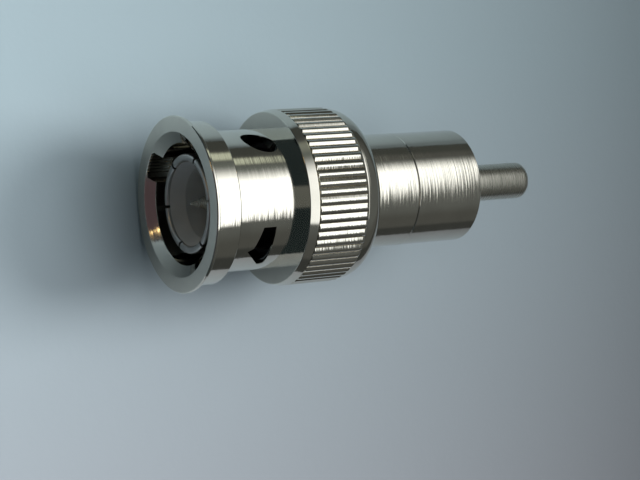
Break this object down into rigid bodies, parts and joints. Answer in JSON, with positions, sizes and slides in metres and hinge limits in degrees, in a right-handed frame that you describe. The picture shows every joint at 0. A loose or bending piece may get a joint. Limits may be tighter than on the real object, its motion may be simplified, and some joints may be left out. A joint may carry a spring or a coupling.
{
  "type": "coaxial video plug adapter",
  "caption": "Metal coaxial video adapter: a bayonet plug with a knurled coupling nut at one end and a phono plug at the other.",
  "frame": {"origin": "on the axis, in the plane of the coupling nut's mouth", "axes": "+Z along the common axis from the bayonet mouth to the phono pin; X and Y across"},
  "size_m": [0.0146, 0.0146, 0.0344],
  "materials": {
    "nut_plating": "bright nickel plating over brass",
    "body_plating": "bright nickel plating over turned brass",
    "contact_plating": "satin nickel plating",
    "pin_plating": "satin nickel plating",
    "insulator": "moulded, matte",
    "seal": "smooth soft rubber",
    "washer_steel": "spring steel"
  },
  "bodies": {
    "body": {"adapter_body": "body_plating", "phono_shell": "body_plating", "outer_contact": "contact_plating", "seal_ring": "seal", "front_insulator": "insulator", "rear_insulator": "insulator", "centre_pin": "pin_plating", "phono_pin": "pin_plating", "wave_washer": "washer_steel"},
    "thrust_washer": {"thrust_washer": "washer_steel"},
    "coupling_nut": {"coupling_nut": "nut_plating"}
  },
  "joints": [
    {"name": "nut_spring_slide", "type": "slide", "parent": "body", "child": "thrust_washer", "axis": [0, 0, -1], "range_m": [0, 0.0008], "stiffness_N_per_m": 2000, "springref_m": -0.001, "deforming": ["wave_washer"]},
    {"name": "nut_turn", "type": "hinge", "parent": "thrust_washer", "child": "coupling_nut", "pos_m": [0, 0, 0.0114], "axis": [0, 0, 1], "continuous": true}
  ]
}
